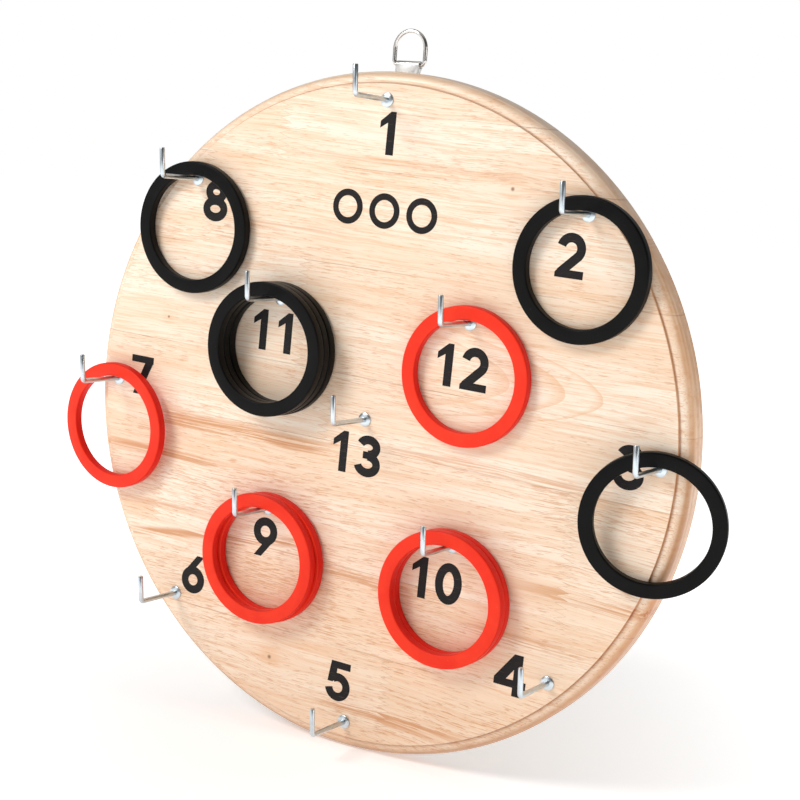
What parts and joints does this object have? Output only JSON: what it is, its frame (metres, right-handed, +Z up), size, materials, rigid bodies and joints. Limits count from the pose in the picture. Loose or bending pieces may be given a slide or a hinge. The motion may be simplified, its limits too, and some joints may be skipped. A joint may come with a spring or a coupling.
{
  "type": "hook and ring game",
  "caption": "Round wooden wall board with numbered L-shaped screw hooks and flat rubber rings that are tossed onto them, hung by a D-ring on its back.",
  "frame": {"origin": "centre of the board's back face, which rests against the wall", "axes": "+Y out of the board's back into the wall, so players face -Y; +Z up; +X to the players' right"},
  "size_m": [0.4228, 0.059, 0.405],
  "materials": {
    "pale_wood": "clear matt lacquer on edge-glued rubberwood",
    "zinc_plated_steel": "bright zinc plate",
    "nickel_plated_steel": "bright nickel plate",
    "black_rubber": "matt moulded rubber",
    "red_rubber": "matt moulded rubber",
    "number_print": "matt screen-printed ink"
  },
  "bodies": {
    "board_with_hooks": {"board": "pale_wood", "hook_1": "zinc_plated_steel", "hook_2": "zinc_plated_steel", "hook_3": "zinc_plated_steel", "hook_4": "zinc_plated_steel", "hook_5": "zinc_plated_steel", "hook_6": "zinc_plated_steel", "hook_7": "zinc_plated_steel", "hook_8": "zinc_plated_steel", "hook_9": "zinc_plated_steel", "hook_10": "zinc_plated_steel", "hook_11": "zinc_plated_steel", "hook_12": "zinc_plated_steel", "hook_13": "zinc_plated_steel", "hook_collar_1": "zinc_plated_steel", "hook_collar_2": "zinc_plated_steel", "hook_collar_3": "zinc_plated_steel", "hook_collar_4": "zinc_plated_steel", "hook_collar_5": "zinc_plated_steel", "hook_collar_6": "zinc_plated_steel", "hook_collar_7": "zinc_plated_steel", "hook_collar_8": "zinc_plated_steel", "hook_collar_9": "zinc_plated_steel", "hook_collar_10": "zinc_plated_steel", "hook_collar_11": "zinc_plated_steel", "hook_collar_12": "zinc_plated_steel", "hook_collar_13": "zinc_plated_steel", "hanger_strap": "nickel_plated_steel", "hanger_screw_upper": "nickel_plated_steel", "hanger_screw_lower": "nickel_plated_steel"},
    "hanger_ring": {"hanger_ring": "nickel_plated_steel"},
    "black_ring_2": {"black_ring_2": "black_rubber"},
    "black_ring_3": {"black_ring_3": "black_rubber"},
    "red_ring_7": {"red_ring_7": "red_rubber"},
    "black_ring_8": {"black_ring_8": "black_rubber"},
    "red_ring_9_back": {"red_ring_9_back": "red_rubber"},
    "red_ring_9_front": {"red_ring_9_front": "red_rubber"},
    "red_ring_10_back": {"red_ring_10_back": "red_rubber"},
    "red_ring_10_front": {"red_ring_10_front": "red_rubber"},
    "black_ring_11_back": {"black_ring_11_back": "black_rubber"},
    "black_ring_11_middle": {"black_ring_11_middle": "black_rubber"},
    "black_ring_11_front": {"black_ring_11_front": "black_rubber"},
    "red_ring_12": {"red_ring_12": "red_rubber"}
  },
  "joints": [
    {"name": "hanger_ring_swing", "type": "hinge", "parent": "board_with_hooks", "child": "hanger_ring", "pos_m": [0, 0.00265, 0.1949], "axis": [1, 0, 0], "range_deg": [-170, 95]},
    {"name": "black_ring_2_lift_off", "type": "slide", "parent": "board_with_hooks", "child": "black_ring_2", "axis": [0, -0.5736, 0.8192], "range_m": [0, 0.12]},
    {"name": "black_ring_3_lift_off", "type": "slide", "parent": "board_with_hooks", "child": "black_ring_3", "axis": [0, -0.5736, 0.8192], "range_m": [0, 0.12]},
    {"name": "red_ring_7_lift_off", "type": "slide", "parent": "board_with_hooks", "child": "red_ring_7", "axis": [0, -0.5736, 0.8192], "range_m": [0, 0.12]},
    {"name": "black_ring_8_lift_off", "type": "slide", "parent": "board_with_hooks", "child": "black_ring_8", "axis": [0, -0.5736, 0.8192], "range_m": [0, 0.12]},
    {"name": "red_ring_9_back_lift_off", "type": "slide", "parent": "board_with_hooks", "child": "red_ring_9_back", "axis": [0, -0.5736, 0.8192], "range_m": [0, 0.12]},
    {"name": "red_ring_9_front_lift_off", "type": "slide", "parent": "red_ring_9_back", "child": "red_ring_9_front", "axis": [0, -0.5736, 0.8192], "range_m": [0, 0.12]},
    {"name": "red_ring_10_back_lift_off", "type": "slide", "parent": "board_with_hooks", "child": "red_ring_10_back", "axis": [0, -0.5736, 0.8192], "range_m": [0, 0.12]},
    {"name": "red_ring_10_front_lift_off", "type": "slide", "parent": "red_ring_10_back", "child": "red_ring_10_front", "axis": [0, -0.5736, 0.8192], "range_m": [0, 0.12]},
    {"name": "black_ring_11_back_lift_off", "type": "slide", "parent": "board_with_hooks", "child": "black_ring_11_back", "axis": [0, -0.5736, 0.8192], "range_m": [0, 0.12]},
    {"name": "black_ring_11_middle_lift_off", "type": "slide", "parent": "black_ring_11_back", "child": "black_ring_11_middle", "axis": [0, -0.5736, 0.8192], "range_m": [0, 0.12]},
    {"name": "black_ring_11_front_lift_off", "type": "slide", "parent": "black_ring_11_middle", "child": "black_ring_11_front", "axis": [0, -0.5736, 0.8192], "range_m": [0, 0.12]},
    {"name": "red_ring_12_lift_off", "type": "slide", "parent": "board_with_hooks", "child": "red_ring_12", "axis": [0, -0.5736, 0.8192], "range_m": [0, 0.12]}
  ]
}
